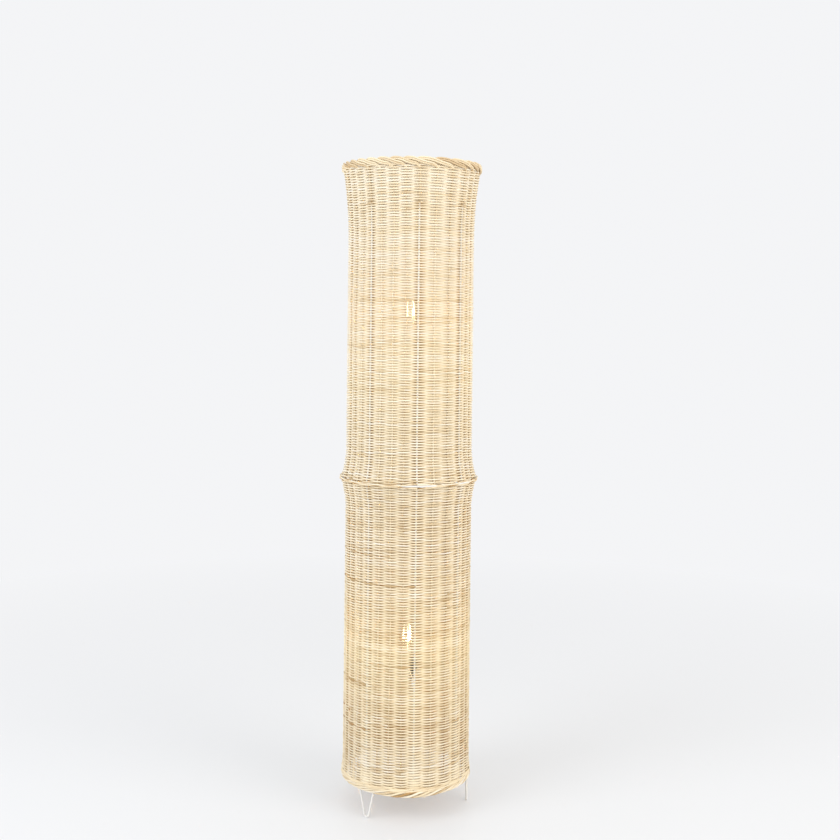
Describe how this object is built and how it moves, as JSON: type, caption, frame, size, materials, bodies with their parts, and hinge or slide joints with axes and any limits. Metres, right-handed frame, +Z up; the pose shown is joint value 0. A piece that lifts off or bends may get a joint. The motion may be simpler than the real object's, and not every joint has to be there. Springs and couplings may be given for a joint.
{
  "type": "rattan floor lamp",
  "caption": "Tall tubular floor lamp: woven rattan over a white wire frame, swelled at mid height and flared on top, lit from inside by stacked screw-in bulbs.",
  "frame": {"origin": "on the floor, below the middle of the woven tube", "axes": "+Z up along the tube, +Y away from the viewer of the picture, +X to the viewer's right"},
  "size_m": [0.3107, 0.3107, 1.4],
  "materials": {
    "frame_wire": "white satin powder coat on steel wire",
    "rattan": "natural pale rattan core, unvarnished",
    "holder_case": "black moulded thermoset, slightly glossy",
    "contact_ceramic": "unglazed white ceramic",
    "contact_brass": "bare stamped brass",
    "bulb_metal": "nickel plate",
    "bulb_glass": "clear blown glass",
    "bulb_filament": "phosphor-coated light-emitting rods on lead wires"
  },
  "bodies": {
    "frame": {"leg_front_left": "frame_wire", "leg_right": "frame_wire", "leg_back_left": "frame_wire", "bottom_ring": "frame_wire", "middle_ring": "frame_wire", "top_ring": "frame_wire", "upright_1": "frame_wire", "upright_2": "frame_wire", "upright_3": "frame_wire", "upright_4": "frame_wire", "upright_5": "frame_wire", "upright_6": "frame_wire", "upright_7": "frame_wire", "upright_8": "frame_wire", "bottom_border": "rattan", "lower_weave": "rattan", "upper_weave": "rattan", "top_braid": "rattan", "lower_carrier": "frame_wire", "lower_holder_cap": "holder_case", "lower_holder_body": "holder_case", "lower_clamp_ring_low": "holder_case", "lower_clamp_ring_high": "holder_case", "lower_contact_block": "contact_ceramic", "lower_screw_shell": "contact_brass", "lower_contact_strip": "contact_brass", "upper_carrier": "frame_wire", "upper_holder_cap": "holder_case", "upper_holder_body": "holder_case", "upper_clamp_ring_low": "holder_case", "upper_clamp_ring_high": "holder_case", "upper_contact_block": "contact_ceramic", "upper_screw_shell": "contact_brass", "upper_contact_strip": "contact_brass"},
    "lower_bulb_lift": {"lower_bulb_tip": "bulb_metal"},
    "lower_bulb": {"lower_bulb_cap": "bulb_metal", "lower_bulb_glass": "bulb_glass", "lower_bulb_filament": "bulb_filament"},
    "upper_bulb_lift": {"upper_bulb_tip": "bulb_metal"},
    "upper_bulb": {"upper_bulb_cap": "bulb_metal", "upper_bulb_glass": "bulb_glass", "upper_bulb_filament": "bulb_filament"}
  },
  "joints": [
    {"name": "lower_bulb_rise", "type": "slide", "parent": "frame", "child": "lower_bulb_lift", "axis": [0, 0, 1], "range_m": [0, 0.0091]},
    {"name": "lower_bulb_turn", "type": "hinge", "parent": "lower_bulb_lift", "child": "lower_bulb", "pos_m": [0, 0, 0.289], "axis": [0, 0, 1], "range_deg": [0, 900]},
    {"name": "upper_bulb_rise", "type": "slide", "parent": "frame", "child": "upper_bulb_lift", "axis": [0, 0, 1], "range_m": [0, 0.0091]},
    {"name": "upper_bulb_turn", "type": "hinge", "parent": "upper_bulb_lift", "child": "upper_bulb", "pos_m": [0, 0, 1.007], "axis": [0, 0, 1], "range_deg": [0, 900]}
  ],
  "couplings": [
    {"joint": "lower_bulb_rise", "follows": "lower_bulb_turn", "m_per_rad": 0.00057614},
    {"joint": "upper_bulb_rise", "follows": "upper_bulb_turn", "m_per_rad": 0.00057614}
  ]
}
